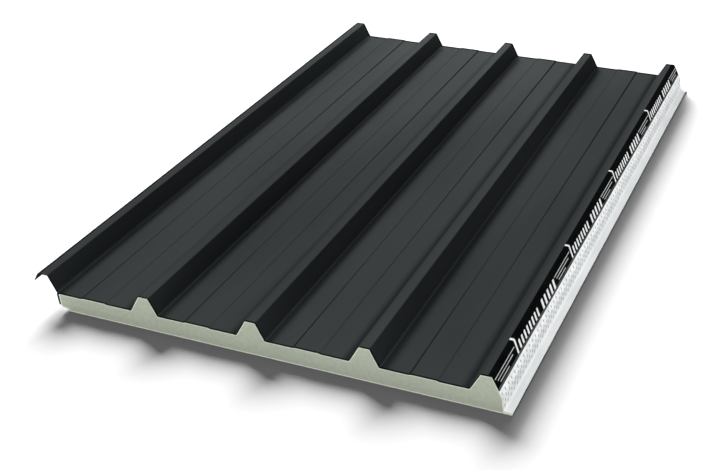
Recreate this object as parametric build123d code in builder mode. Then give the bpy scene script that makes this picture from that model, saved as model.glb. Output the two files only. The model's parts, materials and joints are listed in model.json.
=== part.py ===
from build123d import *
from math import atan2, radians, sin, tan
import os

# Insulated roof panel, lying with its ribs up, in millimetres.
# +X runs across the ribs, from the lap rib to the tongue, and +Y along them.
# The origin is the middle of the underside.
# The section is drawn in x from the lap rib's middle and z from the underside.

# Ribs and valleys of the outer sheet
rib_count = 5
rib_pitch = 250.0
rib_height = 38.0
rib_top_width = 24.0
rib_foot_width = 65.0
plateau_width = 55.0
plateau_rise = 1.5
plateau_step_run = 3.0

# Whole panel
panel_length = 1750.0
core_depth = 40.0  # from the underside to the valleys
outer_sheet = 0.6
inner_sheet = 0.5
bend_radius = 3.0  # inside the outer sheet's bends
liner_bend_radius = 1.0  # inside the inner sheet's bends

# Lap rib, which is empty and covers the last rib of the next panel
lap_clearance = 0.4
lip_drop = 20.0  # from its crown down to its free edge

# Side beyond the last rib
sheet_edge_drop = 28.0  # from the crown down to the outer sheet's edge
shoulder_height = 35.0  # where the last flank turns down into the side
side_lean = 3.5  # how far the side leans out, from shoulder to tongue
side_film = 0.4
print_film = 0.3
print_film_on_crown = 9.0  # how far the printed film reaches onto the last crown

# Tongue of this panel, and the groove that takes the same tongue of the next one
tongue_reach = 17.5
tongue_root_height = 6.5
tongue_tip_height = 4.5
tongue_fillet = 4.0
groove_clearance = 1.0
groove_lip_rise = 4.5  # how far the inner sheet turns up beside the groove's mouth
groove_end_lean = 0.5

# Seal on the left side of the core
joint_gap = 1.0
seal_thickness = 1.0
seal_bead = 3.0

cover_width = rib_pitch * (rib_count - 1)
crown_height = core_depth + rib_height
flank_angle = atan2(rib_height, (rib_foot_width - rib_top_width) / 2)
lap_growth = outer_sheet + lap_clearance


def rib_half_top(growth):
    """Half the crown of a rib whose outline is grown outwards."""
    return rib_top_width / 2 + growth * tan(flank_angle / 2)


def rib_half_foot(growth):
    """Half the foot, at valley level, of a rib whose outline is grown outwards."""
    return rib_foot_width / 2 + growth / sin(flank_angle)


def plateau(middle):
    """The low raised strip in the middle of a valley, from left to right."""
    half_top = plateau_width / 2
    half_foot = half_top + plateau_step_run
    raised = core_depth + plateau_rise
    return [
        (middle - half_foot, core_depth),
        (middle - half_top, raised),
        (middle + half_top, raised),
        (middle + half_foot, core_depth),
    ]


def rib(middle):
    """A filled rib's upper line, from left to right."""
    return [
        (middle - rib_half_foot(0), core_depth),
        (middle - rib_half_top(0), crown_height),
        (middle + rib_half_top(0), crown_height),
        (middle + rib_half_foot(0), core_depth),
    ]


def beside(line, gap):
    """The line that runs at a gap to the right of a given line."""
    ways = [(Vector(b) - Vector(a)).normalized() for a, b in zip(line, line[1:])]
    rights = [Vector(way.Y, -way.X) for way in ways]
    before = [rights[0]] + rights
    after = rights + [rights[-1]]
    return [
        Vector(point) + (one + two) * (gap / (1 + one.dot(two)))
        for point, one, two in zip(line, before, after)
    ]


def turns_right(line):
    """For each inner corner of a line, whether it turns to the right."""
    corners = zip(line, line[1:], line[2:])
    return [
        (Vector(b) - Vector(a)).cross(Vector(c) - Vector(b)).Z < 0 for a, b, c in corners
    ]


def left_radii(line, thickness, inside):
    """Corner radii on the left face of a sheet bent to the given inside radii."""
    return [r + thickness if right else r for r, right in zip(inside, turns_right(line))]


def right_radii(line, thickness, inside):
    """Corner radii on the right face of the same sheet."""
    return [r if right else r + thickness for r, right in zip(inside, turns_right(line))]


def sheet_outline(line, thickness, inside):
    """Closed outline of a bent sheet that has its left face on a line."""
    other = beside(line, thickness)
    FilletPolyline(*line, radius=left_radii(line, thickness, inside))
    FilletPolyline(*other, radius=right_radii(line, thickness, inside))
    Line(line[0], other[0])
    Line(line[-1], other[-1])


# Upper line of the outer sheet, from the lap rib's free edge to the last flank's edge
lap_half_top = rib_half_top(lap_growth)
lap_crown_height = crown_height + lap_growth
lip_x = -lap_half_top - lip_drop / tan(flank_angle)
facing_line = [
    (lip_x, lap_crown_height - lip_drop),
    (-lap_half_top, lap_crown_height),
    (lap_half_top, lap_crown_height),
    (rib_half_foot(lap_growth), core_depth),
]
lap_points = len(facing_line)
for number in range(1, rib_count):
    facing_line += plateau((number - 0.5) * rib_pitch)
    facing_line += rib(number * rib_pitch)
sheet_edge_x = cover_width + rib_half_top(0) + sheet_edge_drop / tan(flank_angle)
facing_line[-1] = (sheet_edge_x, crown_height - sheet_edge_drop)
facing_bends = [bend_radius] * (len(facing_line) - 2)
core_top_line = beside(facing_line, outer_sheet)[lap_points:]
core_top_radii = right_radii(facing_line, outer_sheet, facing_bends)[lap_points - 1:]

# Outer line of the side film, from the outer sheet's edge to the tongue's tip
film_start = beside(facing_line, outer_sheet - side_film)[-1]
shoulder_x = film_start.X + (film_start.Y - shoulder_height) / tan(flank_angle)
root_x = shoulder_x + side_lean
tip_x = root_x + tongue_reach
side_line = [
    film_start,
    (shoulder_x, shoulder_height),
    (root_x, tongue_root_height),
    (tip_x - inner_sheet, tongue_tip_height),
]
side_bends = [side_film, tongue_fillet]


def core_left_x(height):
    """The left side of the core, which leans as the right side does."""
    slope = side_lean / (shoulder_height - tongue_root_height)
    top = shoulder_x - cover_width + joint_gap + seal_thickness
    return top + slope * (shoulder_height - height)


# Upper line of the inner sheet: groove mouth, groove roof, underside, tongue tip
groove_lift = groove_clearance + inner_sheet
mouth_height = tongue_root_height + groove_lift
groove_lip_height = mouth_height + groove_lip_rise
groove_end_x = tip_x - cover_width + groove_lift
liner_line = [
    (core_left_x(groove_lip_height), groove_lip_height),
    (core_left_x(mouth_height), mouth_height),
    (groove_end_x, tongue_tip_height + groove_lift),
    (groove_end_x + groove_end_lean, inner_sheet),
    (tip_x - inner_sheet, inner_sheet),
    (tip_x - inner_sheet, tongue_tip_height),
]
mouth_bend = tongue_fillet + groove_clearance - inner_sheet
liner_bends = [mouth_bend] + [liner_bend_radius] * 3

# Every section stands at the middle of the length, with the origin in mid width
section_plane = Plane(
    origin=(-(lip_x + tip_x) / 2, 0, 0), x_dir=(1, 0, 0), z_dir=(0, -1, 0)
)
half_length = panel_length / 2

# Profiled outer sheet, one piece with the empty lap rib
with BuildPart() as outer_facing:
    with BuildSketch(section_plane):
        with BuildLine():
            sheet_outline(facing_line, outer_sheet, facing_bends)
        make_face()
    extrude(amount=half_length, both=True)
outer_facing.part.label = "outer_facing"

# Rigid foam core, which fills every rib but the lap rib, and the tongue
core_side_line = beside(side_line, side_film)
core_side_radii = right_radii(side_line, side_film, side_bends)
core_base_line = liner_line[:-1] + [core_side_line[-1]]
core_base_radii = left_radii(liner_line, inner_sheet, liner_bends)
core_corner = (core_left_x(core_depth - outer_sheet), core_depth - outer_sheet)
with BuildPart() as foam_core:
    with BuildSketch(section_plane):
        with BuildLine():
            Line(core_corner, core_top_line[0])
            FilletPolyline(*core_top_line, radius=core_top_radii[1:])
            FilletPolyline(*core_side_line, radius=core_side_radii)
            FilletPolyline(*core_base_line, radius=core_base_radii)
            Line(core_base_line[0], core_corner)
        make_face()
    extrude(amount=half_length, both=True)
foam_core.part.label = "foam_core"

# Inner sheet: plain underside, folded into the groove and up at the tongue's tip
with BuildPart() as inner_facing:
    with BuildSketch(section_plane):
        with BuildLine():
            sheet_outline(liner_line, inner_sheet, liner_bends)
        make_face()
    extrude(amount=half_length, both=True)
inner_facing.part.label = "inner_facing"

# White film over the core's right side and the top of the tongue
with BuildPart() as side_cover_film:
    with BuildSketch(section_plane):
        with BuildLine():
            sheet_outline(side_line, side_film, side_bends)
        make_face()
    extrude(amount=half_length, both=True)
side_cover_film.part.label = "side_cover_film"

# Printed film on the last rib's crown and outer flank
crown_edge_x = cover_width + rib_half_top(0)
print_base = [
    (crown_edge_x - print_film_on_crown, crown_height),
    (crown_edge_x, crown_height),
    facing_line[-1],
]
with BuildPart() as rib_print_film:
    with BuildSketch(section_plane):
        with BuildLine():
            sheet_outline(beside(print_base, -print_film), print_film, [bend_radius + outer_sheet])
        make_face()
    extrude(amount=half_length, both=True)
rib_print_film.part.label = "rib_print_film"

# Seal on the core's left side, with a bead below the lap rib's foot
seal_top = core_corner[1]
bead_height = seal_top - seal_bead / 2
with BuildPart() as edge_seal:
    with BuildSketch(section_plane):
        with BuildLine():
            Polyline(
                (core_left_x(groove_lip_height), groove_lip_height),
                (core_left_x(groove_lip_height) - seal_thickness, groove_lip_height),
                (core_left_x(seal_top) - seal_thickness, seal_top),
                (core_left_x(seal_top), seal_top),
                close=True,
            )
        make_face()
        with Locations((core_left_x(seal_top) - seal_bead / 2, bead_height)):
            Circle(seal_bead / 2)
    extrude(amount=half_length, both=True)
edge_seal.part.label = "edge_seal"

pieces = (outer_facing, foam_core, inner_facing, side_cover_film, rib_print_film, edge_seal)
os.makedirs("parts", exist_ok=True)
for piece in pieces:
    export_step(piece.part, f"parts/{piece.part.label}.step")
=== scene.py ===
# %% [markdown]
# An insulated roof panel lies ribs up on a pale studio floor. It is a sandwich: a dark, profiled
# steel sheet on top, a core of rigid foam, and a flat pale steel sheet below.
#
# The imported part is loaded first and never moved. Each visible piece is then drawn again from
# the same section, with rounder bends and with the finish of the real material, and it stands
# for its imported solid. The imported solids stay in the scene, hidden.

# %% Load the imported part
import bmesh
import bpy
import json
from math import atan2, cos, degrees, pi, radians, sin, tan
from mathutils import Matrix, Quaternion, Vector

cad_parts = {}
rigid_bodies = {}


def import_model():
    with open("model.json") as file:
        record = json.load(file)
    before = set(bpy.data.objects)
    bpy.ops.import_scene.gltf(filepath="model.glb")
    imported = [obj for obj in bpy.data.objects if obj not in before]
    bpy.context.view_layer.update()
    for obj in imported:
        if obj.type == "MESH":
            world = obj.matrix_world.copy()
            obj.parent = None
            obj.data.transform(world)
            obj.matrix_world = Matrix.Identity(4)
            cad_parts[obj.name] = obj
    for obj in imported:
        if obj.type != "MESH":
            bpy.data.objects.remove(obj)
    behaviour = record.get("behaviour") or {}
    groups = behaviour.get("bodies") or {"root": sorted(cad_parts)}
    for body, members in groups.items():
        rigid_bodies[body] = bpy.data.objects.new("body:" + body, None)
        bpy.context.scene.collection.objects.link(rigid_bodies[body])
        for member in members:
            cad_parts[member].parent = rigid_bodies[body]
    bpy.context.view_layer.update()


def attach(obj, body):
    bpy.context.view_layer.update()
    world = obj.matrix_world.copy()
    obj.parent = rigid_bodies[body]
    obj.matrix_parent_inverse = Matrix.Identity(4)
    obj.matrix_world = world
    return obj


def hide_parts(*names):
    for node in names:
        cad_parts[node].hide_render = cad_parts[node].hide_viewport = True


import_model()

# %% [markdown]
# The camera stands in front of the panel and to its right, a little over three metres away, and
# looks down on it. A turn is counted from straight ahead to the right, and a rise from level,
# so the same two angles also place the lamps later. The small roll is that of the photograph.

# %% Camera
camera_place = Vector((1.0650, -2.8147, 1.4696))
camera_turn = radians(23.235)
camera_rise = radians(28.414)
camera_roll = radians(-0.554)
camera_lens = 64.31
sensor_width = 36.0


def way_out(turn, rise):
    """The direction from the panel to something that stands at a turn and a rise."""
    return Vector((sin(turn) * cos(rise), -cos(turn) * cos(rise), sin(rise)))


def facing_panel(turn, rise, roll=0.0):
    """How a camera or lamp that stands at a turn and a rise is held."""
    return way_out(turn, rise).to_track_quat("Z", "Y") @ Quaternion((0, 0, 1), roll)


def put_in_scene(thing):
    """Links an object to the scene and hands it back."""
    bpy.context.scene.collection.objects.link(thing)
    return thing


camera_data = bpy.data.cameras.new("camera")
camera_data.lens = camera_lens
camera_data.sensor_width = sensor_width
camera = put_in_scene(bpy.data.objects.new("camera", camera_data))
camera.location = camera_place
camera.rotation_mode = "QUATERNION"
camera.rotation_quaternion = facing_panel(camera_turn, camera_rise, camera_roll)
bpy.context.scene.camera = camera
bpy.context.scene.view_settings.view_transform = "Standard"
print("camera at", tuple(round(value, 3) for value in camera.location))

# %% [markdown]
# The section is the heart of the panel: everything else is that one drawing, drawn out along
# its length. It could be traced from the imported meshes, but then a bend would be as coarse as
# theirs. The sizes are written again here instead, in metres, with x counted from the middle of
# the lap rib, the empty one at the left, and height from the underside.

# %% Sizes of the panel
mm = 0.001
rib_count = 5
rib_pitch = 250 * mm
rib_height = 38 * mm
rib_top_width = 24 * mm
rib_foot_width = 65 * mm
plateau_width = 55 * mm
plateau_rise = 1.5 * mm
plateau_step_run = 3 * mm
panel_length = 1750 * mm
core_depth = 40 * mm
outer_sheet = 0.6 * mm
inner_sheet = 0.5 * mm
bend_radius = 3 * mm
liner_bend_radius = 1 * mm
lap_clearance = 0.4 * mm
lip_drop = 20 * mm
sheet_edge_drop = 28 * mm
shoulder_height = 35 * mm
side_lean = 3.5 * mm
side_film = 0.4 * mm
print_film = 0.3 * mm
print_film_on_crown = 9 * mm
tongue_reach = 17.5 * mm
tongue_root_height = 6.5 * mm
tongue_tip_height = 4.5 * mm
tongue_fillet = 4 * mm
groove_clearance = 1 * mm
groove_lip_rise = 4.5 * mm
groove_end_lean = 0.5 * mm
joint_gap = 1 * mm
seal_thickness = 1 * mm

half_length = panel_length / 2
cover_width = rib_pitch * (rib_count - 1)
crown_height = core_depth + rib_height
flank_angle = atan2(rib_height, (rib_foot_width - rib_top_width) / 2)
print("flank angle:", round(degrees(flank_angle), 2), "degrees")

# %% [markdown]
# A bent sheet is drawn by one of its faces, as a line of corners, and the other face runs
# beside it at the sheet's thickness. At a corner the two faces share one centre of bending, so
# the outer radius is the inner one plus the thickness. A corner is kept here as a pair: its
# point, and the radius that it will be bent to.


# %% Helpers for the section
def beside(line, gap):
    """The line that runs at a gap to the right of a given line."""
    ways = [(there - here).normalized() for here, there in zip(line, line[1:])]
    rights = [Vector((way.y, -way.x)) for way in ways]
    return [
        point + (one + two) * (gap / (1 + one.dot(two)))
        for point, one, two in zip(line, rights[:1] + rights, rights + rights[-1:])
    ]


def turns_right(line):
    """For each inner corner of a line, whether it turns to the right."""
    corners = zip(line, line[1:], line[2:])
    return [(corner - before).cross(after - corner) < 0 for before, corner, after in corners]


def left_face(line, thickness, inside):
    """Corners on the left face of a sheet bent to the given inside radii."""
    turns = zip(inside, turns_right(line))
    bends = [radius + thickness if right else radius for radius, right in turns]
    return list(zip(line, [0.0] + bends + [0.0]))


def right_face(line, thickness, inside):
    """Corners on the right face of the same sheet."""
    turns = zip(inside, turns_right(line))
    bends = [radius if right else radius + thickness for radius, right in turns]
    return list(zip(beside(line, thickness), [0.0] + bends + [0.0]))


def sheet_outline(line, thickness, inside):
    """Closed outline of a bent sheet that has its left face on a line."""
    return left_face(line, thickness, inside) + right_face(line, thickness, inside)[::-1]


def points_of(corners):
    """The points of a row of corners, without their radii."""
    return [point for point, bend in corners]


# %% [markdown]
# The outer sheet's upper face runs over five ribs and the low raised strip in each valley. Its
# first rib is grown by the sheet and a little play, because it lies over the last rib of the
# next panel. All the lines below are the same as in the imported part.


# %% Line of the outer sheet
def rib_half_top(growth):
    """Half the crown of a rib whose outline is grown outwards."""
    return rib_top_width / 2 + growth * tan(flank_angle / 2)


def rib_half_foot(growth):
    """Half the foot, at valley level, of a rib whose outline is grown outwards."""
    return rib_foot_width / 2 + growth / sin(flank_angle)


def raised_line(middle, half_foot, half_top, height):
    """Four corners of something that rises from a valley, such as a rib or a raised strip."""
    return [
        Vector((middle - half_foot, core_depth)),
        Vector((middle - half_top, height)),
        Vector((middle + half_top, height)),
        Vector((middle + half_foot, core_depth)),
    ]


lap_growth = outer_sheet + lap_clearance
lap_half_top = rib_half_top(lap_growth)
lap_crown_height = crown_height + lap_growth
lip_x = -lap_half_top - lip_drop / tan(flank_angle)
facing_line = raised_line(0.0, rib_half_foot(lap_growth), lap_half_top, lap_crown_height)
facing_line[0] = Vector((lip_x, lap_crown_height - lip_drop))
lap_points = len(facing_line)
strip_half = plateau_width / 2
strip_height = core_depth + plateau_rise
for rib in range(1, rib_count):
    facing_line += raised_line(
        (rib - 0.5) * rib_pitch, strip_half + plateau_step_run, strip_half, strip_height
    )
    facing_line += raised_line(
        rib * rib_pitch, rib_half_foot(0), rib_half_top(0), crown_height
    )
crown_edge_x = cover_width + rib_half_top(0)
sheet_edge_x = crown_edge_x + sheet_edge_drop / tan(flank_angle)
facing_line[-1] = Vector((sheet_edge_x, crown_height - sheet_edge_drop))
facing_bends = [bend_radius] * (len(facing_line) - 2)
core_top = right_face(facing_line, outer_sheet, facing_bends)[lap_points:]
print("outer sheet:", len(facing_line), "corners")

# %% [markdown]
# Right of the last rib the foam is covered by a white film, which goes down the side and over
# the tongue. The underside is the pale inner sheet. At the left it is folded into the groove
# that takes the next panel's tongue, and at the right it turns up at the tongue's tip.

# %% Lines of the side, the underside and the core
film_start = beside(facing_line, outer_sheet - side_film)[-1]
shoulder_x = film_start.x + (film_start.y - shoulder_height) / tan(flank_angle)
root_x = shoulder_x + side_lean
tip_x = root_x + tongue_reach
side_line = [
    film_start,
    Vector((shoulder_x, shoulder_height)),
    Vector((root_x, tongue_root_height)),
    Vector((tip_x - inner_sheet, tongue_tip_height)),
]
side_bends = [side_film, tongue_fillet]
core_side = right_face(side_line, side_film, side_bends)


def core_left(height):
    """A point on the left side of the core, which leans as the right side does."""
    slope = side_lean / (shoulder_height - tongue_root_height)
    top = shoulder_x - cover_width + joint_gap + seal_thickness
    return Vector((top + slope * (shoulder_height - height), height))


groove_lift = groove_clearance + inner_sheet
mouth_height = tongue_root_height + groove_lift
groove_lip_height = mouth_height + groove_lip_rise
groove_end_x = tip_x - cover_width + groove_lift
liner_line = [
    core_left(groove_lip_height),
    core_left(mouth_height),
    Vector((groove_end_x, tongue_tip_height + groove_lift)),
    Vector((groove_end_x + groove_end_lean, inner_sheet)),
    Vector((tip_x - inner_sheet, inner_sheet)),
    Vector((tip_x - inner_sheet, tongue_tip_height)),
]
liner_bends = [tongue_fillet + groove_clearance - inner_sheet] + [liner_bend_radius] * 3
core_base = left_face(liner_line, inner_sheet, liner_bends)[:-1]
core_corner = core_left(core_depth - outer_sheet)
core_outline = [(core_corner, 0.0)] + core_top[:-1] + core_side + core_base[::-1]
section_shift = -(lip_x + tip_x) / 2
print("core:", len(core_outline), "corners; the section is moved by", round(section_shift, 4))

# %% [markdown]
# Nodes are placed by one short helper. It makes a node, sets its options, and then either links
# each input to another node's output or gives it a plain value. It serves shaders and geometry
# alike, and keeps the trees below readable. The others are small steps that come back in many
# trees, such as a soft passage from 0 to 1 or a mix of two colours.


# %% Helpers for node trees
def place(tree, kind, inputs=None, **options):
    """A new node in a tree, with its options set and its inputs linked or filled in."""
    node = tree.nodes.new(kind)
    for name, value in options.items():
        setattr(node, name, value)
    for name, value in (inputs or {}).items():
        if isinstance(value, bpy.types.NodeSocket):
            tree.links.new(value, node.inputs[name])
        elif isinstance(value, list):
            for source in value:
                tree.links.new(source, node.inputs[name])
        else:
            node.inputs[name].default_value = value
    return node


def number(tree, operation, *values):
    """The result of an operation on plain numbers."""
    inputs = dict(enumerate(values))
    return place(tree, "ShaderNodeMath", inputs, operation=operation).outputs[0]


def away_from(tree, value, middle):
    """How far a value is from a middle, to either side."""
    return number(tree, "ABSOLUTE", number(tree, "SUBTRACT", value, middle))


def rising(tree, value, start, end):
    """0 up to a start, 1 from an end on, and a soft passage between them."""
    return place(
        tree, "ShaderNodeMapRange", {"Value": value, "From Min": start, "From Max": end},
        interpolation_type="SMOOTHSTEP",
    ).outputs[0]


def falling(tree, value, start, end):
    """1 up to a start, 0 from an end on, and a soft passage between them."""
    return number(tree, "SUBTRACT", 1.0, rising(tree, value, start, end))


def split(tree, vector):
    """The X, Y and Z outputs of a vector taken apart."""
    return place(tree, "ShaderNodeSeparateXYZ", {"Vector": vector}).outputs


def object_coordinates(tree):
    """Where a point lies in its own object's space."""
    return place(tree, "ShaderNodeTexCoord").outputs["Object"]


def blended(tree, share, one, other):
    """One colour passing into another by a share. Inputs 6 and 7 are the node's two colours."""
    return place(
        tree, "ShaderNodeMix", {0: share, 6: one, 7: other}, data_type="RGBA"
    ).outputs[2]


def sockets(tree, side, names):
    """Named sockets on the outside of a node group."""
    for name, kind in names.items():
        tree.interface.new_socket(name=name, in_out=side, socket_type="NodeSocket" + kind)


def srgb(red, green, blue):
    """A colour as seen on a screen, 0 to 255, turned into the linear values Blender mixes."""
    def linear(value):
        share = value / 255
        return share / 12.92 if share <= 0.04045 else ((share + 0.055) / 1.055) ** 2.4
    return (linear(red), linear(green), linear(blue), 1.0)


# %% [markdown]
# Two effects come back in nearly every finish here, so each is a node group made once.
# Mottle mixes two close colours by a soft noise, because no coating, foam or film has exactly
# one colour. Grain turns a fine noise into a bump for the surface's normal. Both can be
# stretched, so that streaks follow the way the sheet was rolled.

# %% Shared effects
patch_detail = 4.0
grain_detail = 3.0
patches_from = 0.3
patches_full = 0.7


def stretched_noise(tree, given, detail):
    """A noise over the object's own coordinates, at a group's Scale and Stretch."""
    stretched = place(
        tree, "ShaderNodeVectorMath",
        {0: object_coordinates(tree), 1: given["Stretch"]}, operation="MULTIPLY",
    )
    return place(
        tree, "ShaderNodeTexNoise",
        {"Vector": stretched.outputs[0], "Scale": given["Scale"], "Detail": detail},
    ).outputs["Fac"]


mottle = bpy.data.node_groups.new("mottle", "ShaderNodeTree")
sockets(mottle, "INPUT", {"Scale": "Float", "Stretch": "Vector", "Dark": "Color", "Light": "Color"})
sockets(mottle, "OUTPUT", {"Color": "Color"})
given = place(mottle, "NodeGroupInput").outputs
patches = rising(mottle, stretched_noise(mottle, given, patch_detail), patches_from, patches_full)
mixed = blended(mottle, patches, given["Dark"], given["Light"])
place(mottle, "NodeGroupOutput", {"Color": mixed})

grain = bpy.data.node_groups.new("grain", "ShaderNodeTree")
sockets(grain, "INPUT", {"Scale": "Float", "Stretch": "Vector", "Depth": "Float"})
sockets(grain, "OUTPUT", {"Normal": "Vector"})
given = place(grain, "NodeGroupInput").outputs
bump = place(
    grain, "ShaderNodeBump",
    {"Height": stretched_noise(grain, given, grain_detail), "Distance": given["Depth"]},
)
place(grain, "NodeGroupOutput", {"Normal": bump.outputs["Normal"]})
print("shared effects:", mottle.name, "and", grain.name)

# %% [markdown]
# Most finishes need only these two effects and one Principled shader. Their gloss is low: under
# soft light the coatings in the photograph show no reflections, only their own colour.

# %% Plain finishes
even = (1.0, 1.0, 1.0)


def new_finish(name):
    """An empty material, with its node tree."""
    material = bpy.data.materials.new(name)
    material.use_nodes = True
    material.node_tree.nodes.clear()
    return material, material.node_tree


def mottled(tree, dark, light, scale, stretch=even):
    """The colour of the mottle effect."""
    return place(
        tree, "ShaderNodeGroup",
        {"Scale": scale, "Stretch": stretch, "Dark": srgb(*dark), "Light": srgb(*light)},
        node_tree=mottle,
    ).outputs["Color"]


def grained(tree, scale, depth):
    """The normal of the grain effect."""
    return place(
        tree, "ShaderNodeGroup", {"Scale": scale, "Stretch": even, "Depth": depth},
        node_tree=grain,
    ).outputs["Normal"]


def finish_with(tree, colour, normal, roughness, specular):
    """Ends a finish's tree in one Principled shader."""
    shader = place(
        tree, "ShaderNodeBsdfPrincipled",
        {
            "Base Color": colour, "Normal": normal,
            "Roughness": roughness, "Specular IOR Level": specular,
        },
    )
    place(tree, "ShaderNodeOutputMaterial", {"Surface": shader.outputs["BSDF"]})


def plain_finish(name, dark, light, patch_scale, grain_scale, depth, roughness, specular):
    """A material that is only mottled and grained."""
    material, tree = new_finish(name)
    finish_with(
        tree, mottled(tree, dark, light, patch_scale), grained(tree, grain_scale, depth),
        roughness, specular,
    )
    return material


cut_steel = plain_finish(
    "cut_steel", dark=(14, 15, 16), light=(24, 25, 26), patch_scale=60.0,
    grain_scale=900.0, depth=0.03 * mm, roughness=0.6, specular=0.1,
)
# A near black paint for the thin line of painted shade under the outer sheet.
edge_shade_paint = plain_finish(
    "painted_edge_shade", dark=(10, 11, 11), light=(24, 26, 24), patch_scale=90.0,
    grain_scale=800.0, depth=0.05 * mm, roughness=0.7, specular=0.05,
)
black_film = plain_finish(
    "black_film", dark=(5, 6, 7), light=(11, 12, 13), patch_scale=30.0,
    grain_scale=500.0, depth=0.05 * mm, roughness=0.5, specular=0.001,
)
white_ink = plain_finish(
    "white_ink", dark=(226, 228, 228), light=(242, 243, 243), patch_scale=120.0,
    grain_scale=900.0, depth=0.01 * mm, roughness=0.55, specular=0.1,
)
pale_ink = plain_finish(
    "pale_ink", dark=(176, 180, 179), light=(196, 199, 198), patch_scale=120.0,
    grain_scale=900.0, depth=0.01 * mm, roughness=0.55, specular=0.02,
)
grey_ink = plain_finish(
    "grey_ink", dark=(60, 67, 64), light=(78, 85, 81), patch_scale=60.0,
    grain_scale=900.0, depth=0.01 * mm, roughness=0.55, specular=0.001,
)
seal_rubber = plain_finish(
    "seal_rubber", dark=(10, 11, 12), light=(20, 21, 22), patch_scale=300.0,
    grain_scale=900.0, depth=0.2 * mm, roughness=0.85, specular=0.01,
)
print("plain finishes:", len(bpy.data.materials))

# %% [markdown]
# The inner sheet's coating is pale. Only its edge, turned up at the tongue's tip, is painted dark
# as shade: it draws a thin dark line between the white film and the floor.

# %% Pale coating
pale_coating, tree = new_finish("pale_coating")
tip_place = section_shift + tip_x
dark_edge_from = 0.3 * mm
dark_edge_full = 0.1 * mm
# Painted shade on the upright face of the tongue's tip.
painted_tip_shade = rising(
    tree, split(tree, object_coordinates(tree))["X"],
    tip_place - dark_edge_from, tip_place - dark_edge_full,
)
colour = mottled(tree, dark=(212, 214, 210), light=(224, 226, 223), scale=5.0)
colour = blended(tree, painted_tip_shade, colour, srgb(26, 27, 28))
normal = grained(tree, scale=900.0, depth=0.03 * mm)
finish_with(tree, colour, normal, roughness=0.5, specular=0.02)
print("pale coating:", len(tree.nodes), "nodes")

# %% [markdown]
# The coated sheet's darker and paler stripes, painted shade and painted highlights, all follow the
# section. So the material works out how far each point is from the middle of its valley, and no
# mask has to be painted. A few helpers turn that distance into soft stripes, which may grow
# stronger along the panel.

# %% Stripes along the coated steel
coated_steel, tree = new_finish("coated_steel")
coordinates = split(tree, object_coordinates(tree))
across = coordinates["X"]
along = coordinates["Y"]
in_pitch = number(
    tree, "FLOORED_MODULO", number(tree, "SUBTRACT", across, section_shift), rib_pitch
)
from_valley = number(tree, "SUBTRACT", in_pitch, rib_pitch / 2)
stripe_full_to = 0.4
stripe_gone_from = 1.4


def stripe(at, half_width, strength):
    """A soft stripe along the panel, beside the middle of each valley: to the left below 0."""
    from_stripe = away_from(tree, from_valley, at)
    near = falling(tree, from_stripe, stripe_full_to * half_width, stripe_gone_from * half_width)
    return number(tree, "MULTIPLY", near, strength)


def changing(start, end, first_share, last_share):
    """A share that changes evenly along the panel, from one place to another."""
    return place(
        tree, "ShaderNodeMapRange",
        {
            "Value": along, "From Min": start, "From Max": end,
            "To Min": first_share, "To Max": last_share,
        },
    ).outputs["Result"]


def most(*shares):
    """The greatest of some shares."""
    found = shares[0]
    for share in shares[1:]:
        found = number(tree, "MAXIMUM", found, share)
    return found


print("places and stripes:", len(tree.nodes), "nodes")

# %% [markdown]
# The sheet is a dark, nearly neutral grey, which wanders a little in streaks along the rolling
# direction. Painted shade draws the folds of the raised strips as thin dark lines, the left ones
# most at the front and the right ones most at the back. A soft band of painted shade lies over
# the left flank of each rib, and is darkest at its foot and at the crown's edge. A thin painted
# highlight follows the foot of each right flank, and a faint one the front half of the right
# folds. The cut ends are nearly black, and so is the lap rib's outer bend, as painted shade.

# %% Coated steel
fold_place = (plateau_width + plateau_step_run) / 2
foot_place = (rib_pitch - rib_foot_width) / 2
crown_place = (rib_pitch - rib_top_width) / 2
left_fold_share = changing(-half_length, -half_length / 2, first_share=1.0, last_share=0.6)
right_fold_share = changing(0.0, half_length, first_share=0.0, last_share=0.9)
painted_fold_highlight_share = changing(-half_length / 2, 0.0, first_share=0.15, last_share=0.0)
# Painted shade on the folds, over the left flanks, beside their feet and at the crowns' left edges.
left_fold = stripe(at=-fold_place, half_width=2.2 * mm, strength=left_fold_share)
right_fold = stripe(at=fold_place, half_width=1.8 * mm, strength=right_fold_share)
flank_band = stripe(at=foot_place + 3 * mm, half_width=19 * mm, strength=0.56)
dark_foot = stripe(at=foot_place - 5 * mm, half_width=6.5 * mm, strength=0.68)
crown_edge = stripe(at=crown_place - 1.5 * mm, half_width=3.2 * mm, strength=0.55)
painted_shade = most(left_fold, right_fold, flank_band, dark_foot, crown_edge)
# Painted highlights at the feet of the right flanks and on the right folds.
pale_foot = stripe(at=-foot_place + 1 * mm, half_width=2.3 * mm, strength=0.36)
painted_fold_highlight = stripe(at=fold_place, half_width=1.8 * mm, strength=painted_fold_highlight_share)
painted_highlights = most(pale_foot, painted_fold_highlight)
front_cut = falling(tree, along, start=-half_length + 2 * mm, end=-half_length + 4 * mm)
back_cut = rising(tree, along, start=half_length - 11 * mm, end=half_length - 8 * mm)
# Painted shade on the lap rib's outer bend.
lap_bend_middle = section_shift - lap_half_top + 2.6 * mm
from_lap_bend = away_from(tree, across, lap_bend_middle)
lap_bend = falling(tree, from_lap_bend, start=2.2 * mm, end=3.6 * mm)
near_black = most(front_cut, back_cut, lap_bend)
colour = mottled(
    tree, dark=(52, 56, 57), light=(59, 63, 64), scale=6.0, stretch=(1.0, 0.2, 1.0)
)
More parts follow.
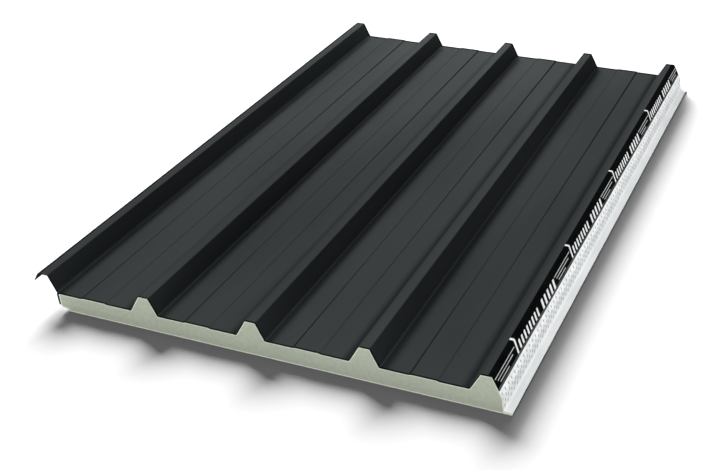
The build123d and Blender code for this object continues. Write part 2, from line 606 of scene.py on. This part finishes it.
# Painted shade, then painted highlights, then the near black ends and lap bend.
colour = blended(tree, painted_shade, colour, srgb(18, 20, 21))
colour = blended(tree, painted_highlights, colour, srgb(104, 108, 109))
colour = blended(tree, near_black, colour, srgb(10, 11, 12))
normal = grained(tree, scale=900.0, depth=0.02 * mm)
finish_with(tree, colour, normal, roughness=0.5, specular=0.0007)
print("coated steel:", len(tree.nodes), "nodes")

# %% [markdown]
# The cut foam is a pale grey green. A saw opens its fine cells, so a Voronoi pattern with cells
# about a millimetre wide gives the bump and a faint darkening, and the mottle gives the slight
# clouds that blown foam has. The skin, where the foam met a sheet, is the same but paler.

# %% Foam
foam_tints = {
    "cut_foam": ((170, 177, 160), (179, 186, 169)),
    "skin_foam": ((220, 226, 207), (230, 235, 219)),
}
cells_per_metre = 900.0
cell_depth = 0.4 * mm
pits_from = 0.1
pits_full = 0.7
pit_darkness = 0.12
foams = {}
for name, tints in foam_tints.items():
    foams[name], tree = new_finish(name)
    cells = place(
        tree, "ShaderNodeTexVoronoi",
        {"Vector": object_coordinates(tree), "Scale": cells_per_metre},
    ).outputs["Distance"]
    pits = number(tree, "MULTIPLY", rising(tree, cells, pits_from, pits_full), pit_darkness)
    colour = blended(tree, pits, mottled(tree, *tints, scale=120.0), srgb(90, 96, 84))
    relief = place(tree, "ShaderNodeBump", {"Height": cells, "Distance": cell_depth})
    finish_with(tree, colour, relief.outputs["Normal"], roughness=0.9, specular=0.05)
print("foams:", list(foams))

# %% [markdown]
# The side film is white. Rows of small dents are embossed into its upper part, and painted shade
# makes them grey. The film's own mesh carries an attribute that says where a dent is, which the
# material reads, so tint and dent always fall together. Below the dents the film is whiter and
# less patchy: higher up the patches are the film's own, while the greyer tone is painted shade.

# %% White film
whiter_up_to = 12 * mm
patchy_from = 18 * mm
white_film, tree = new_finish("white_film")
spot = place(tree, "ShaderNodeAttribute", attribute_name="spot").outputs["Fac"]
height = split(tree, object_coordinates(tree))["Z"]
whiter_tint = mottled(
    tree, dark=(226, 229, 230), light=(236, 238, 239), scale=30.0, stretch=(1.0, 0.3, 1.0)
)
patchy_tint = mottled(
    tree, dark=(206, 208, 210), light=(226, 228, 229), scale=70.0, stretch=(1.0, 0.5, 1.0)
)
# Higher up the film is greyer, as painted shade, and patchier, as its own.
colour = blended(tree, rising(tree, height, whiter_up_to, patchy_from), whiter_tint, patchy_tint)
# Painted shade in the dents.
colour = blended(tree, spot, colour, srgb(122, 125, 130))
normal = grained(tree, scale=260.0, depth=0.25 * mm)
finish_with(tree, colour, normal, roughness=0.5, specular=0.1)
print("white film:", len(tree.nodes), "nodes")

# %% [markdown]
# Nearly every piece of the panel is a flat drawing pushed out to a length: the sheets, the
# foam, the black film, and also the printed marks, which are only a hair thick. One Geometry
# Nodes tree makes them all, and a second one the embossed white film. Both start by rounding
# each corner of a drawing to its own radius. Both end by closing seams and by shading smooth
# all but the sharp edges, so that a rounded bend looks round with few faces. These steps are
# helpers.

# %% Steps that both trees share
sharp_from = radians(40)
weld_distance = 1e-6


def bent_drawing(tree, given):
    """A drawing as a curve, with each corner rounded to its own radius."""
    bend = place(tree, "GeometryNodeInputNamedAttribute", {"Name": "bend"}, data_type="FLOAT")
    corners = place(tree, "GeometryNodeMeshToCurve", {"Mesh": given["Geometry"]})
    return place(
        tree, "GeometryNodeFilletCurve",
        {
            "Curve": corners.outputs["Curve"], "Count": given["Bend Steps"],
            "Radius": bend.outputs["Attribute"], "Limit Radius": True,
        },
        mode="POLY",
    ).outputs[0]


def welded(tree, *parts):
    """Parts of one body, joined and with their seams closed."""
    joined = place(tree, "GeometryNodeJoinGeometry", {"Geometry": list(parts)})
    return place(
        tree, "GeometryNodeMergeByDistance",
        {"Geometry": joined.outputs[0], "Distance": weld_distance},
    ).outputs[0]


def shaded(tree, geometry):
    """A geometry made real and shaded smooth, but for its sharp edges."""
    realized = place(tree, "GeometryNodeRealizeInstances", {"Geometry": geometry})
    smooth = place(
        tree, "GeometryNodeSetShadeSmooth",
        {"Geometry": realized.outputs[0], "Shade Smooth": True}, domain="FACE",
    )
    edge_angle = place(tree, "GeometryNodeInputMeshEdgeAngle").outputs["Unsigned Angle"]
    return place(
        tree, "GeometryNodeSetShadeSmooth",
        {
            "Geometry": smooth.outputs[0], "Shade Smooth": False,
            "Selection": number(tree, "GREATER_THAN", edge_angle, sharp_from),
        },
        domain="EDGE",
    ).outputs[0]


# %% [markdown]
# The first tree fills the drawing, pushes it out, closes the back, turns it into place, and
# repeats it in rows and groups along the panel. Drawing each shape by hand would take much
# longer and would not keep the sheets touching. The cut ends, which look along the panel, may
# get a material of their own. A slant lets a printed mark lean to the back as it goes up.

# %% Tree for drawn and pushed-out pieces
end_facing = 0.9
pushed_out = bpy.data.node_groups.new("pushed_out", "GeometryNodeTree")
sockets(pushed_out, "INPUT", {
    "Geometry": "Geometry", "Length": "Float", "Bend Steps": "Int",
    "Turn": "Rotation", "Place": "Vector", "Slant": "Float",
    "In a Row": "Int", "Row Step": "Float", "Groups": "Int", "Group Step": "Float",
    "Material": "Material", "End Material": "Material",
})
sockets(pushed_out, "OUTPUT", {"Geometry": "Geometry"})
tree = pushed_out
given = place(tree, "NodeGroupInput").outputs
filled = place(
    tree, "GeometryNodeFillCurve", {"Curve": bent_drawing(tree, given)}, mode="NGONS"
)
pushed = place(
    tree, "GeometryNodeExtrudeMesh",
    {
        "Mesh": filled.outputs["Mesh"], "Offset": (0, 0, 1),
        "Offset Scale": given["Length"], "Individual": False,
    },
    mode="FACES",
)
back = place(tree, "GeometryNodeFlipFaces", {"Mesh": filled.outputs["Mesh"]})
turned = place(
    tree, "GeometryNodeTransform",
    {
        "Geometry": welded(tree, pushed.outputs["Mesh"], back.outputs[0]),
        "Rotation": given["Turn"], "Translation": given["Place"],
    },
)
height = split(tree, place(tree, "GeometryNodeInputPosition").outputs[0])["Z"]
offset = number(tree, "MULTIPLY", height, given["Slant"])
lean = place(tree, "ShaderNodeCombineXYZ", {"Y": offset})
leaned = place(
    tree, "GeometryNodeSetPosition", {"Geometry": turned.outputs[0], "Offset": lean.outputs[0]}
)


def repeated(tree, geometry, count, step):
    """Copies of a geometry along the panel."""
    offset = place(tree, "ShaderNodeCombineXYZ", {"Y": step})
    line = place(tree, "GeometryNodeMeshLine", {"Count": count, "Offset": offset.outputs[0]})
    return place(
        tree, "GeometryNodeInstanceOnPoints",
        {"Points": line.outputs[0], "Instance": geometry},
    ).outputs[0]


row = repeated(tree, leaned.outputs[0], given["In a Row"], given["Row Step"])
groups = repeated(tree, row, given["Groups"], given["Group Step"])
main = place(
    tree, "GeometryNodeSetMaterial",
    {"Geometry": shaded(tree, groups), "Material": given["Material"]},
)
facing = split(tree, place(tree, "GeometryNodeInputNormal").outputs[0])["Y"]
at_end = number(tree, "GREATER_THAN", number(tree, "ABSOLUTE", facing), end_facing)
ended = place(
    tree, "GeometryNodeSetMaterial",
    {
        "Geometry": main.outputs[0], "Selection": at_end,
        "Material": given["End Material"],
    },
)
place(tree, "NodeGroupOutput", {"Geometry": ended.outputs[0]})
print("pushed_out:", len(tree.nodes), "nodes")

# %% [markdown]
# A tree needs something to start from: here a loop of edges in the drawing plane, whose
# vertices carry the bend radius as an attribute. The tree runs as a modifier on that loop. Its
# result is then turned into a plain mesh, and the loop with its modifier is thrown away. A
# Weighted Normal modifier after the tree keeps the wide faces looking flat next to the narrow
# ones of a bend.

# %% Helpers that run a tree
section_bend_steps = 6
cm3_in_m3 = 1e6


def drawn(name, *outlines, closed=True):
    """A mesh of edge loops from outlines, with each corner's bend radius on its vertex."""
    points, edges, bends = [], [], []
    for outline in outlines:
        first, count = len(points), len(outline)
        points += [(point.x, point.y, 0.0) for point, bend in outline]
        bends += [bend for point, bend in outline]
        sides = count if closed else count - 1
        edges += [(first + side, first + (side + 1) % count) for side in range(sides)]
    mesh = bpy.data.meshes.new(name)
    mesh.from_pydata(points, edges, [])
    mesh.attributes.new("bend", "FLOAT", "POINT").data.foreach_set("value", bends)
    return mesh


def grown(name, mesh, tree, values):
    """A plain mesh object made by running a tree on a mesh."""
    source = put_in_scene(bpy.data.objects.new(name + "_source", mesh))
    modifier = source.modifiers.new("tree", "NODES")
    modifier.node_group = tree
    for socket in tree.interface.items_tree:
        if socket.in_out == "INPUT" and socket.name in values:
            modifier[socket.identifier] = values[socket.name]
    source.modifiers.new("normals", "WEIGHTED_NORMAL").keep_sharp = True
    evaluated = source.evaluated_get(bpy.context.evaluated_depsgraph_get())
    result = bpy.data.meshes.new_from_object(evaluated)
    bpy.data.objects.remove(source)
    piece = put_in_scene(bpy.data.objects.new(name, result))
    check = bmesh.new()
    check.from_mesh(result)
    open_edges = sum(not edge.is_manifold for edge in check.edges)
    volume = check.calc_volume(signed=True) * cm3_in_m3
    print(f"{name}: {len(check.faces)} faces, {open_edges} open edges, {volume:.1f} cm3")
    check.free()
    return piece


panel_pieces = bpy.data.collections.new("panel_pieces")


def stands_for(piece, node):
    """Ties a piece to the frame: what it moves with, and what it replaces."""
    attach(piece, "root")
    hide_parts(node)
    panel_pieces.objects.link(piece)
    return piece


lying = (radians(90), 0.0, 0.0)
once = {"Slant": 0.0, "In a Row": 1, "Row Step": 0.0, "Groups": 1, "Group Step": 0.0}


def length_of_section(
    name, outline, material, end_material=None, length=panel_length, middle=0.0, repeats=once
):
    """A piece of the section's drawing, pushed out along the panel from a place on it."""
    values = {
        **once, **repeats, "Length": length, "Bend Steps": section_bend_steps, "Turn": lying,
        "Place": (section_shift, middle + length / 2, 0.0),
        "Material": material, "End Material": end_material or material,
    }
    return grown(name, drawn(name, outline), pushed_out, values)


# %% [markdown]
# Now the pieces themselves. The two steel sheets and the foam core come first. The cut foam
# shows at both ends.

# %% Sheets and core
facing_outline = sheet_outline(facing_line, outer_sheet, facing_bends)
liner_outline = sheet_outline(liner_line, inner_sheet, liner_bends)
sheet_piece = stands_for(
    length_of_section("outer_sheet", facing_outline, coated_steel, cut_steel),
    "outer_facing",
)
core_piece = stands_for(
    length_of_section("core", core_outline, foams["cut_foam"]), "foam_core"
)
stands_for(
    length_of_section("inner_sheet", liner_outline, pale_coating, cut_steel),
    "inner_facing",
)

# %% [markdown]
# Where the foam meets a sheet it is denser, and the cut shows that as a paler rim. Right under
# the outer sheet runs a thin dark line of painted shade, along the sheet's cut edge. Both could be
# painted in the foam's material, but a painted line this thin blurs when a texture is made of it.
# So they are hair thin plates on the cut ends.
#
# The rim follows the foam's outline, and fills the thin tongue. A filled drawing here has no
# hole, so a narrow slit at the core's top left corner makes the whole band one outline.

# %% Rim and line of painted shade on the cut ends
rim_width = 2.4 * mm
edge_shade_width = 0.9 * mm
rim_plate = 0.3 * mm
edge_shade_plate = 0.5 * mm
slit = 0.4 * mm
at_both_ends = {"In a Row": 2, "Row Step": panel_length}
start = (core_corner + Vector((rim_width + slit, 0.0)), 0.0)
side_top = core_side[1][0]
down = core_side[2][0] - side_top
side_end = side_top + down * ((inner_sheet - side_top.y) / down.y)
past_tongue = [start] + core_top[:-1] + core_side[:2] + [(side_end, 0.0)]
past_tongue += core_base[::-1][1:] + [(core_corner, 0.0)]


def inner_bend(bend, right):
    """The radius of a bend's inner line: less where it turns right, and more where left."""
    if bend == 0.0:
        return 0.0
    return max(bend - rim_width, 0.0) if right else bend + rim_width


rim_turns = [False] + turns_right(points_of(past_tongue)) + [False]
rim_inner = [
    (point, inner_bend(bend, right))
    for point, (corner, bend), right in zip(
        beside(points_of(past_tongue), rim_width), past_tongue, rim_turns
    )
]
rim_inner[-1] = (core_corner + Vector((rim_width, 0.0)), 0.0)
rim_outline = [start] + core_outline[1:] + [(core_corner, 0.0)] + rim_inner[::-1]
rim_piece = stands_for(
    length_of_section(
        "foam_rim", rim_outline, foams["skin_foam"], length=rim_plate, middle=-half_length,
        repeats=at_both_ends,
    ),
    "foam_core",
)
# A thin dark line of painted shade under the outer sheet's cut edge.
edge_shade_line = [core_corner] + points_of(core_top)
edge_shade_bends = [bend_radius] * (len(edge_shade_line) - 2)
edge_shade_outline = sheet_outline(edge_shade_line, edge_shade_width, edge_shade_bends)
stands_for(
    length_of_section(
        "edge_shade_line", edge_shade_outline, edge_shade_paint, length=edge_shade_plate, middle=-half_length,
        repeats=at_both_ends,
    ),
    "foam_core",
)

# %% [markdown]
# A black strip of soft foam seals the left side of the core. In a joint it is pressed to a
# millimetre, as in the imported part. Here nothing presses it, so it is drawn as it swells.

# %% Seal
seal_foot = core_left(groove_lip_height)
seal_swell = Vector((5 * mm, 0.0))
seal_rounding = 1.5 * mm
seal_outline = [
    (seal_foot, 0.0),
    (seal_foot - seal_swell, seal_rounding),
    (core_corner - seal_swell, seal_rounding),
    (core_corner, 0.0),
]
stands_for(length_of_section("edge_strip", seal_outline, seal_rubber), "edge_seal")

# %% [markdown]
# The black film over the last rib's crown and flank is a bent sheet as well. It carries a plain
# print: a white bar across the film at even distances, after each bar a row of slanted dashes
# and a row of taller ones, and three pale lines before the next bar. A narrow grey band runs
# along its lower edge.

# %% Black film
print_base = [
    Vector((crown_edge_x - print_film_on_crown, crown_height)),
    Vector((crown_edge_x, crown_height)),
    facing_line[-1],
]
print_line = beside(print_base, -print_film)
film_bend = bend_radius + outer_sheet
film_outline = sheet_outline(print_line, print_film, [film_bend])
black_film_piece = stands_for(
    length_of_section("black_print_film", film_outline, black_film),
    "rib_print_film",
)

# %% [markdown]
# The bars bend over the crown with the film, so they are pushed out from the section. Dashes,
# lines and band lie on the flat flank. They are drawn flat, with x along the panel from its
# front end and y up the flank to 0 at the crown's edge, and then turned into the flank.

# %% Bars of the print
ink = 0.06 * mm
print_groups = 4
print_repeat = 412 * mm
first_bar = 130 * mm
bar_width = 7.5 * mm
bar_slant = 0.28
in_groups = {"Groups": print_groups, "Group Step": print_repeat}
bar_film = beside(print_line, -ink)
bar_outline = sheet_outline(bar_film, ink, [film_bend + print_film])
flank_low = bar_film[-1].y
stands_for(
    length_of_section(
        "print_bars", bar_outline, white_ink, length=bar_width,
        middle=first_bar - half_length - bar_slant * flank_low,
        repeats={**in_groups, "Slant": bar_slant},
    ),
    "rib_print_film",
)

# %% Dashes on the flank
mark_slant = 0.25
mark_bend_steps = 3
dash_rounding = 1.2 * mm
on_flank = Matrix((
    (0, -cos(flank_angle), sin(flank_angle)),
    (1, 0, 0),
    (0, sin(flank_angle), cos(flank_angle)),
)).to_euler()
film_corner = print_line[1]
flank_place = (film_corner.x + section_shift, -half_length, film_corner.y)


def flank_marks(name, outlines, material, repeats):
    """Flat marks of ink on the last rib's flank."""
    values = {
        **once, **repeats, "Length": ink, "Bend Steps": mark_bend_steps,
        "Turn": on_flank, "Place": flank_place,
        "Material": material, "End Material": material,
    }
    marks = grown(name, drawn(name, *outlines), pushed_out, values)
    stands_for(marks, "rib_print_film")


def slanted_bar(start, high, low, width, slant, rounding):
    """A bar on the flank between two depths below the crown's edge, leaning to the back."""
    lean = slant * (low - high)
    ends = [(start, low), (start + width, low), (start + width + lean, high), (start + lean, high)]
    return [(Vector((x, -depth)), rounding) for x, depth in ends]


dashes_past_bar = 17 * mm
tall_dashes_past_bar = 177 * mm
dash = slanted_bar(
    first_bar + dashes_past_bar, high=9 * mm, low=26 * mm, width=8.5 * mm,
    slant=mark_slant, rounding=dash_rounding,
)
tall_dash = slanted_bar(
    first_bar + tall_dashes_past_bar, high=8 * mm, low=28 * mm, width=10.5 * mm,
    slant=mark_slant, rounding=dash_rounding,
)
flank_marks(
    "print_dashes", [dash], white_ink, {**in_groups, "In a Row": 8, "Row Step": 18 * mm}
)
flank_marks(
    "print_tall_dashes", [tall_dash], white_ink,
    {**in_groups, "In a Row": 5, "Row Step": 21.5 * mm},
)

# %% [markdown]
# Before each bar stand three pale lines, each shorter than the one above it. The bar that would
# follow the last ones lies past the panel's end, so those lines stop short of the cut. The grey
# band below runs the whole length.

# %% Lines and band on the flank
line_half = 1 * mm
line_rounding = 0.6 * mm
short_of_cut = 4 * mm


def line_before(bar_place, last_place, depth, start, end):
    """A line at a depth, from a start to an end before a bar, and no further than a place."""
    begin = bar_place - start
    width = min(bar_place - end, last_place) - begin
    return slanted_bar(
        begin, depth - line_half, depth + line_half, width, mark_slant, line_rounding
    )


def print_lines(name, bar_place, last_place, repeats):
    """Three lines before a bar, each starting later and ending earlier than the one above."""
    outlines = [
        line_before(bar_place, last_place, depth=9 * mm, start=127 * mm, end=5 * mm),
        line_before(bar_place, last_place, depth=16 * mm, start=119 * mm, end=22 * mm),
        line_before(bar_place, last_place, depth=23 * mm, start=111 * mm, end=54 * mm),
    ]
    flank_marks(name, outlines, pale_ink, repeats)


print_lines("print_lines", first_bar, panel_length, in_groups)
bar_past_end = first_bar + print_repeat * print_groups
print_lines("print_end_lines", bar_past_end, panel_length - short_of_cut, once)
band_inset = 1 * mm
lower_band = slanted_bar(
    band_inset, high=27 * mm, low=32.6 * mm, width=panel_length - 2 * band_inset,
    slant=0.0, rounding=0.0,
)
flank_marks("print_grey_band", [lower_band], grey_ink, once)

# %% [markdown]
# The white film has a second tree. A fine grid is laid over the film's line, which gives the
# inner face, and is pushed out by the film's thickness. Then the outer face gets its dents, in
# rows that are staggered against each other. Each vertex works out how far it is from the
# middle of the nearest dent, so nothing is placed by hand. The same number is stored as the
# attribute that tints the dents.

# %% Tree for the embossed film
dent_full_to = 0.3
dent_gone_from = 0.7
embossing = bpy.data.node_groups.new("embossing", "GeometryNodeTree")
sockets(embossing, "INPUT", {
    "Geometry": "Geometry", "Length": "Float", "Thickness": "Float", "Bend Steps": "Int",
    "Across Step": "Float", "Along Step": "Float", "First Row": "Float", "Row Step": "Float",
    "Rows": "Int", "Row Shift": "Float", "Spot Step": "Float", "Spot Width": "Float",
    "Spot Height": "Float", "Dent": "Float", "Place": "Vector", "Material": "Material",
})
sockets(embossing, "OUTPUT", {"Geometry": "Geometry"})
tree = embossing
given = place(tree, "NodeGroupInput").outputs
film_curve = bent_drawing(tree, given)
film_width = place(tree, "GeometryNodeCurveLength", {0: film_curve}).outputs[0]


def divided(tree, size, step):
    """How many vertices a side of the grid gets."""
    return number(tree, "ADD", number(tree, "ROUND", number(tree, "DIVIDE", size, step)), 1.0)


grid = place(
    tree, "GeometryNodeMeshGrid",
    {
        "Size X": film_width, "Size Y": given["Length"],
        "Vertices X": divided(tree, film_width, given["Across Step"]),
        "Vertices Y": divided(tree, given["Length"], given["Along Step"]),
    },
)
flat = split(tree, place(tree, "GeometryNodeInputPosition").outputs[0])
across = number(tree, "ADD", flat["X"], number(tree, "MULTIPLY", film_width, 0.5))
along = flat["Y"]
from_first = number(tree, "SUBTRACT", across, given["First Row"])
row_number = number(tree, "ROUND", number(tree, "DIVIDE", from_first, given["Row Step"]))
row_place = number(tree, "MULTIPLY", row_number, given["Row Step"])
row_shift = number(tree, "MULTIPLY", row_number, given["Row Shift"])
up_down = number(tree, "SUBTRACT", from_first, row_place)
shifted = number(tree, "ADD", along, row_shift)
in_step = number(
    tree, "SUBTRACT", number(tree, "FLOORED_MODULO", shifted, given["Spot Step"]),
    number(tree, "MULTIPLY", given["Spot Step"], 0.5),
)
wide = number(tree, "DIVIDE", in_step, given["Spot Width"])
tall = number(tree, "DIVIDE", up_down, given["Spot Height"])
wide_squared = number(tree, "MULTIPLY", wide, wide)
tall_squared = number(tree, "MULTIPLY", tall, tall)
away = number(tree, "SQRT", number(tree, "ADD", wide_squared, tall_squared))
past_first = number(tree, "GREATER_THAN", row_number, -0.5)
before_end = number(tree, "LESS_THAN", row_number, given["Rows"])
in_rows = number(tree, "MULTIPLY", past_first, before_end)
spot = number(tree, "MULTIPLY", falling(tree, away, dent_full_to, dent_gone_from), in_rows)
marked = place(
    tree, "GeometryNodeStoreNamedAttribute",
    {"Geometry": grid.outputs[0], "Name": "spot", "Value": spot},
    data_type="FLOAT", domain="POINT",
)
print("embossing so far:", len(tree.nodes), "nodes")

# %% [markdown]
# So far the film is a flat sheet of marked points. The rest of the tree bends it: each point
# goes to the same length along the film's line, and keeps its place along the panel. Pushing
# out gives the outer face, which is then dented where the marks say so.

# %% Bending and denting the film
on_line = place(
    tree, "GeometryNodeSampleCurve", {"Curves": film_curve, "Length": across}, mode="LENGTH"
)
section = split(tree, on_line.outputs["Position"])
standing = place(
    tree, "ShaderNodeCombineXYZ", {"X": section["X"], "Y": along, "Z": section["Y"]}
)
laid = place(
    tree, "GeometryNodeSetPosition",
    {"Geometry": marked.outputs[0], "Position": standing.outputs[0]},
)
thick = place(
    tree, "GeometryNodeExtrudeMesh",
    {
        "Mesh": laid.outputs[0], "Offset Scale": given["Thickness"],
        "Individual": False,
    },
    mode="FACES",
)
inner_side = place(tree, "GeometryNodeFlipFaces", {"Mesh": laid.outputs[0]})
stored_spot = place(
    tree, "GeometryNodeInputNamedAttribute", {"Name": "spot"}, data_type="FLOAT"
).outputs["Attribute"]
depth = number(tree, "MULTIPLY", stored_spot, given["Dent"])
inwards = number(tree, "MULTIPLY", depth, -1.0)
dent = place(
    tree, "ShaderNodeVectorMath",
    {0: place(tree, "GeometryNodeInputNormal").outputs[0], "Scale": inwards}, operation="SCALE",
)
dented = place(
    tree, "GeometryNodeSetPosition",
    {
        "Geometry": thick.outputs["Mesh"], "Selection": thick.outputs["Top"],
        "Offset": dent.outputs[0],
    },
)
moved = place(
    tree, "GeometryNodeTransform",
    {
        "Geometry": welded(tree, dented.outputs[0], inner_side.outputs[0]),
        "Translation": given["Place"],
    },
)
coated = place(
    tree, "GeometryNodeSetMaterial",
    {"Geometry": shaded(tree, moved.outputs[0]), "Material": given["Material"]},
)
place(tree, "NodeGroupOutput", {"Geometry": coated.outputs[0]})
print("embossing:", len(tree.nodes), "nodes")

# %% [markdown]
# The film's dents stand in four rows. Each dent is a short upright dash, a third of a
# centimetre wide, and each row is shifted a little against the one above it.

# %% White side film
film_values = {
    "Length": panel_length, "Thickness": side_film, "Bend Steps": section_bend_steps,
    "Across Step": 1.8 * mm, "Along Step": 1.4 * mm, "First Row": 10 * mm, "Row Step": 8.8 * mm,
    "Rows": 4, "Row Shift": 6 * mm, "Spot Step": 20 * mm, "Spot Width": 3.4 * mm,
    "Spot Height": 7.5 * mm, "Dent": 0.25 * mm, "Place": (section_shift, 0.0, 0.0),
    "Material": white_film,
}
film_line = drawn("side_film", core_side, closed=False)
side_film_piece = stands_for(
    grown("side_film", film_line, embossing, film_values), "side_cover_film"
)

# %% [markdown]
# The studio is a pale floor, a pale surround and soft lamps. The floor lies a hair below the
# underside, so that the two never share a plane. Its paint keeps the panel's shadow. A small
# glow, which is only seen and lights nothing, sets how dark that shadow gets.

# %% Floor
floor_reach = 9.0
floor_height = -0.2 * mm
floor_grey = (0.97, 0.97, 0.97, 1.0)
floor_glow = 0.065


def seen_directly(tree):
    """1 for what the camera or a reflection sees, 0 for light on its way to a surface."""
    path = place(tree, "ShaderNodeLightPath")
    either = number(tree, "MAXIMUM", path.outputs["Is Camera Ray"], path.outputs["Is Glossy Ray"])
    return number(tree, "MAXIMUM", either, path.outputs["Is Transmission Ray"])


floor_mesh = bpy.data.meshes.new("floor")
floor_corners = [
    (x * floor_reach, y * floor_reach, floor_height)
    for x, y in ((-1, -1), (1, -1), (1, 1), (-1, 1))
]
floor_mesh.from_pydata(floor_corners, [], [(0, 1, 2, 3)])
floor = put_in_scene(bpy.data.objects.new("floor", floor_mesh))
floor_paint, tree = new_finish("floor_paint")
paint = place(tree, "ShaderNodeBsdfDiffuse", {"Color": floor_grey})
glow = place(
    tree, "ShaderNodeEmission",
    {"Strength": number(tree, "MULTIPLY", seen_directly(tree), floor_glow)},
)
both = place(tree, "ShaderNodeAddShader", {0: paint.outputs[0], 1: glow.outputs[0]})
place(tree, "ShaderNodeOutputMaterial", {"Surface": both.outputs[0]})
floor_mesh.materials.append(floor_paint)
print("floor:", 2 * floor_reach, "metres wide")

# %% [markdown]
# The camera and every reflection see the surround as plain white, while only a little of it
# lights the panel. So the background is white without washing out what the lamps shape.

# %% Surround
white = (1.0, 1.0, 1.0, 1.0)
surround_light = 0.06
world = bpy.data.worlds.new("studio")
bpy.context.scene.world = world
world.use_nodes = True
tree = world.node_tree
tree.nodes.clear()
dim = place(tree, "ShaderNodeBackground", {"Color": white, "Strength": surround_light})
bright = place(tree, "ShaderNodeBackground", {"Color": white, "Strength": 1.0})
shown = place(
    tree, "ShaderNodeMixShader",
    {0: seen_directly(tree), 1: dim.outputs[0], 2: bright.outputs[0]},
)
place(tree, "ShaderNodeOutputWorld", {"Surface": shown.outputs[0]})
print("surround:", len(tree.nodes), "nodes")

# %% [markdown]
# A lamp can be linked to a collection of pieces, and then it lights nothing else. That way the
# dark sheet, the white film and the floor's shadow are each set alone. The core, its rim and
# the white film send no light on to the floor, because it would lighten the shadow beside them.


# %% What each lamp lights
def gathered(name, pieces):
    """A collection of the only things that a lamp lights."""
    group = bpy.data.collections.new(name)
    for piece in pieces:
        group.objects.link(piece)
    return group


def all_but(left_out):
    """Every piece of the panel but one."""
    return [piece for piece in panel_pieces.objects if piece != left_out]


marks = [piece for piece in panel_pieces.objects if piece.name.startswith("print")]
film_only = gathered("film_only", [side_film_piece])
sheet_only = gathered("sheet_only", [sheet_piece])
floor_only = gathered("floor_only", [floor])
print_pieces = gathered("print_pieces", [black_film_piece] + marks)
all_but_film = gathered("all_but_film", all_but(side_film_piece))
all_but_sheet = gathered("all_but_sheet", all_but(sheet_piece))
for piece in (core_piece, rim_piece, side_film_piece):
    piece.visible_diffuse = False
print("printed marks:", len(marks))

# %% [markdown]
# The key lamp stands behind the panel's left end and rakes over the ribs, so their right flanks
# are dark and each throws a soft shadow into the valley beside it. A far, wide and lower lamp
# on that side lights the floor alone, and lays the panel's shadow in front and to the right.
#
# The others fill. One hangs overhead and lights all but the white film. One stands low in
# front, for the cut foam, and lights all but the outer sheet. The print and the white film have
# a lamp each at the right. The photograph's outer sheet is lighter near its edges, so three
# lamps, close to its front, back and right edges, light that sheet alone.
#
# A flat lamp of P watts gives a white surface that faces it d metres away a level of
# P / (pi * d) ** 2, where 1 is white in the picture. So each lamp states its level and distance
# here, and its power follows.


# %% Lamps
def lamp(name, lights, turn, rise, distance, size, level, centre=(0.0, 0.0, 0.0), roll=0.0):
    """A soft lamp that gives a white surface facing it the stated level of light."""
    data = bpy.data.lights.new(name, "AREA")
    data.shape = "RECTANGLE"
    data.size, data.size_y = size
    data.energy = level * pi ** 2 * distance ** 2
    holder = put_in_scene(bpy.data.objects.new(name, data))
    holder.location = Vector(centre) + way_out(radians(turn), radians(rise)) * distance
    holder.rotation_mode = "QUATERNION"
    holder.rotation_quaternion = facing_panel(radians(turn), radians(rise), radians(roll))
    holder.visible_camera = False
    holder.light_linking.receiver_collection = lights
    print(f"{name}: {data.energy:.1f} W at {tuple(round(value, 2) for value in holder.location)}")


lamp("key", panel_pieces, turn=220, rise=32.7, distance=10.0, size=(2.5, 1.7), level=1.38)
lamp(
    "front_top", sheet_only, turn=0, rise=80, distance=0.28, size=(1.1, 0.1), level=0.45,
    centre=(0.0, -half_length, 0.0),
)
lamp(
    "back_fill", sheet_only, turn=205, rise=25, distance=1.6, size=(1.0, 0.5), level=1.35,
    centre=(0.0, half_length, 0.0),
)
lamp("top_fill", all_but_film, turn=90, rise=88, distance=6.0, size=(3.0, 3.0), level=0.12)
lamp(
    "floor_key", floor_only, turn=207, rise=20, distance=60.0, size=(66.0, 20.0), level=4.1,
    roll=34,
)
lamp("front_fill", all_but_sheet, turn=4, rise=4, distance=6.0, size=(3.6, 0.45), level=0.55)
lamp(
    "side_fill", sheet_only, turn=90, rise=17, distance=0.62, size=(2.1, 0.12), level=0.42,
    centre=(0.54, 0.0, 0.03),
)
lamp("print_fill", print_pieces, turn=90, rise=17, distance=5.0, size=(3.0, 1.0), level=0.5)
lamp(
    "film_fill", film_only, turn=80, rise=50, distance=3.0, size=(2.6, 0.6), level=1.08,
    centre=(0.5, 0.1, 0.0),
)
